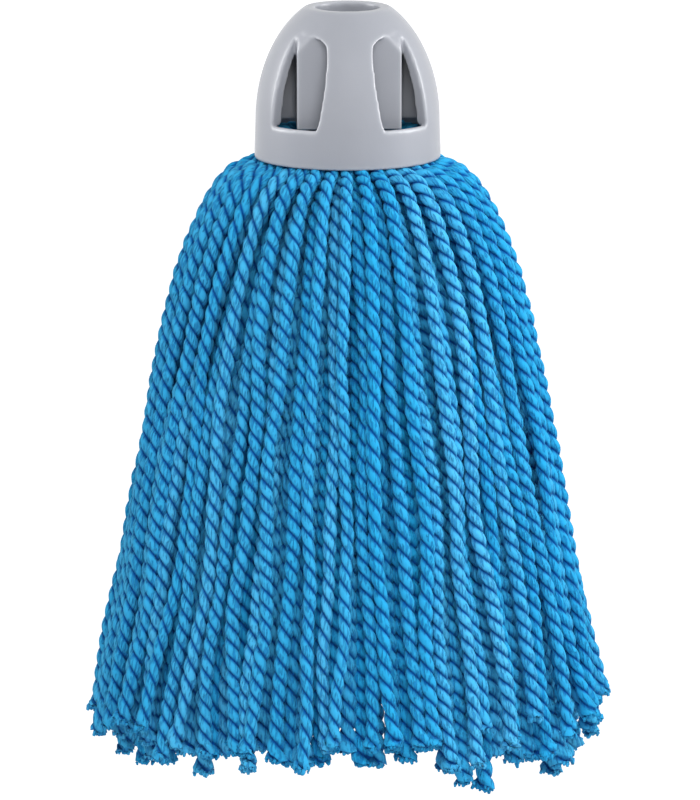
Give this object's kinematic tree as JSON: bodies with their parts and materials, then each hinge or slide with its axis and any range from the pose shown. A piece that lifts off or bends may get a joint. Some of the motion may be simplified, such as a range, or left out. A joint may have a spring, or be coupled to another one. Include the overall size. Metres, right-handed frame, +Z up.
{
  "type": "mop head",
  "caption": "Round socket mop head: a domed grey plastic socket with windows and a push-in handle bore, over a bell of thick twisted blue cotton cords.",
  "frame": {"origin": "on the socket's axis, in the plane of the rim round its mouth", "axes": "+Z up along the handle's axis, out of the mouth; -Y towards the front, midway between two windows; the cords hang towards -Z"},
  "size_m": [0.1922, 0.1918, 0.2694],
  "materials": {
    "socket_plastic": "satin moulded polypropylene",
    "plug_plastic": "satin moulded polypropylene",
    "yarn": "soft twisted cotton cord, dyed blue",
    "tape": "woven cotton tape"
  },
  "bodies": {
    "socket": {"socket": "socket_plastic", "retainer_plug": "plug_plastic", "yarn_header": "yarn", "header_tape": "tape"},
    "tuft_01": {"outer_cord_01": "yarn", "outer_cord_02": "yarn", "outer_cord_03": "yarn", "inner_cord_01": "yarn"},
    "tuft_02": {"outer_cord_04": "yarn", "outer_cord_05": "yarn", "outer_cord_06": "yarn", "inner_cord_02": "yarn"},
    "tuft_03": {"outer_cord_07": "yarn", "outer_cord_08": "yarn", "outer_cord_09": "yarn", "inner_cord_03": "yarn"},
    "tuft_04": {"outer_cord_10": "yarn", "outer_cord_11": "yarn", "outer_cord_12": "yarn", "inner_cord_04": "yarn"},
    "tuft_05": {"outer_cord_13": "yarn", "outer_cord_14": "yarn", "outer_cord_15": "yarn", "inner_cord_05": "yarn"},
    "tuft_06": {"outer_cord_16": "yarn", "outer_cord_17": "yarn", "outer_cord_18": "yarn", "inner_cord_06": "yarn"},
    "tuft_07": {"outer_cord_19": "yarn", "outer_cord_20": "yarn", "outer_cord_21": "yarn", "inner_cord_07": "yarn"},
    "tuft_08": {"outer_cord_22": "yarn", "outer_cord_23": "yarn", "outer_cord_24": "yarn", "inner_cord_08": "yarn"},
    "tuft_09": {"outer_cord_25": "yarn", "outer_cord_26": "yarn", "outer_cord_27": "yarn", "inner_cord_09": "yarn"},
    "tuft_10": {"outer_cord_28": "yarn", "outer_cord_29": "yarn", "outer_cord_30": "yarn", "inner_cord_10": "yarn"},
    "tuft_11": {"outer_cord_31": "yarn", "outer_cord_32": "yarn", "outer_cord_33": "yarn", "inner_cord_11": "yarn"},
    "tuft_12": {"outer_cord_34": "yarn", "outer_cord_35": "yarn", "outer_cord_36": "yarn", "inner_cord_12": "yarn"}
  },
  "joints": [
    {"name": "tuft_swing_01", "type": "hinge", "parent": "socket", "child": "tuft_01", "pos_m": [0, -0.0338, -0.0551], "axis": [-1, 0, 0], "range_deg": [0, 60]},
    {"name": "tuft_swing_02", "type": "hinge", "parent": "socket", "child": "tuft_02", "pos_m": [0.0169, -0.02927, -0.0551], "axis": [-0.866, -0.5, 0], "range_deg": [0, 60]},
    {"name": "tuft_swing_03", "type": "hinge", "parent": "socket", "child": "tuft_03", "pos_m": [0.02927, -0.0169, -0.0551], "axis": [-0.5, -0.866, 0], "range_deg": [0, 60]},
    {"name": "tuft_swing_04", "type": "hinge", "parent": "socket", "child": "tuft_04", "pos_m": [0.0338, 0, -0.0551], "axis": [0, -1, 0], "range_deg": [0, 60]},
    {"name": "tuft_swing_05", "type": "hinge", "parent": "socket", "child": "tuft_05", "pos_m": [0.02927, 0.0169, -0.0551], "axis": [0.5, -0.866, 0], "range_deg": [0, 60]},
    {"name": "tuft_swing_06", "type": "hinge", "parent": "socket", "child": "tuft_06", "pos_m": [0.0169, 0.02927, -0.0551], "axis": [0.866, -0.5, 0], "range_deg": [0, 60]},
    {"name": "tuft_swing_07", "type": "hinge", "parent": "socket", "child": "tuft_07", "pos_m": [0, 0.0338, -0.0551], "axis": [1, 0, 0], "range_deg": [0, 60]},
    {"name": "tuft_swing_08", "type": "hinge", "parent": "socket", "child": "tuft_08", "pos_m": [-0.0169, 0.02927, -0.0551], "axis": [0.866, 0.5, 0], "range_deg": [0, 60]},
    {"name": "tuft_swing_09", "type": "hinge", "parent": "socket", "child": "tuft_09", "pos_m": [-0.02927, 0.0169, -0.0551], "axis": [0.5, 0.866, 0], "range_deg": [0, 60]},
    {"name": "tuft_swing_10", "type": "hinge", "parent": "socket", "child": "tuft_10", "pos_m": [-0.0338, 0, -0.0551], "axis": [0, 1, 0], "range_deg": [0, 60]},
    {"name": "tuft_swing_11", "type": "hinge", "parent": "socket", "child": "tuft_11", "pos_m": [-0.02927, -0.0169, -0.0551], "axis": [-0.5, 0.866, 0], "range_deg": [0, 60]},
    {"name": "tuft_swing_12", "type": "hinge", "parent": "socket", "child": "tuft_12", "pos_m": [-0.0169, -0.02927, -0.0551], "axis": [-0.866, 0.5, 0], "range_deg": [0, 60]}
  ]
}
